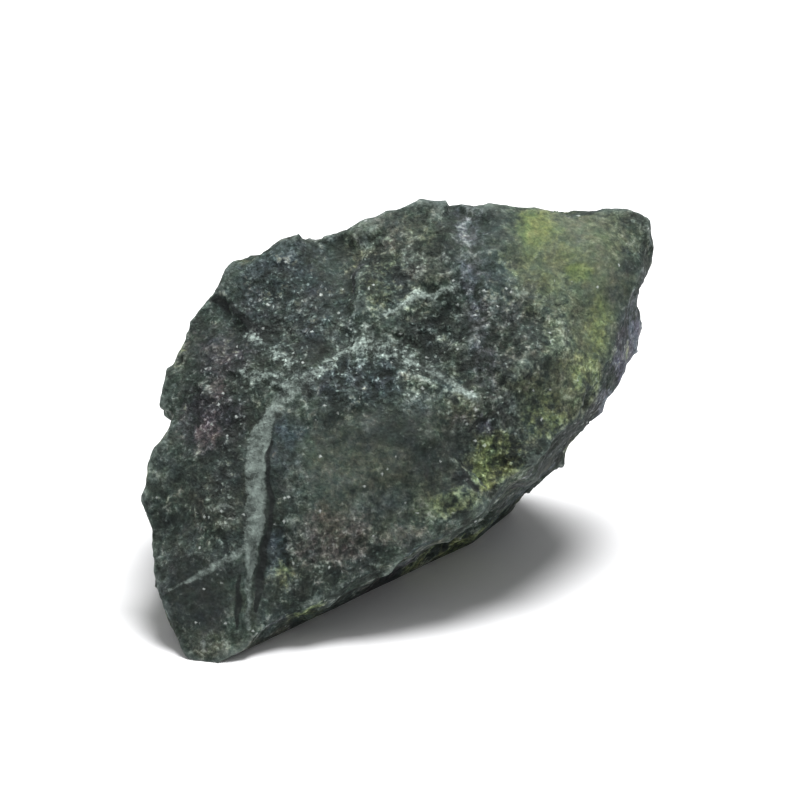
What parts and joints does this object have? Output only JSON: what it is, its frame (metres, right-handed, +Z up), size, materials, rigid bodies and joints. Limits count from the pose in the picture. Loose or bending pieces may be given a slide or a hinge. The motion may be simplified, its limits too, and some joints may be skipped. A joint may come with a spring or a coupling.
{
  "type": "rough serpentine stone",
  "caption": "Rough lump of dark green serpentine with a broad leaning face, a pale mineral vein, yellow-green patches and a flat patch underneath to rest on.",
  "frame": {"origin": "middle of the stone's bounding box seen from above, on the plane that it rests on", "axes": "+Z up, +X along the longest extent, the broad weathered face looks towards -Y"},
  "size_m": [0.0648, 0.0534, 0.047],
  "materials": {
    "serpentine": "matte"
  },
  "bodies": {
    "root": {"serpentine_stone": "serpentine"}
  },
  "joints": []
}
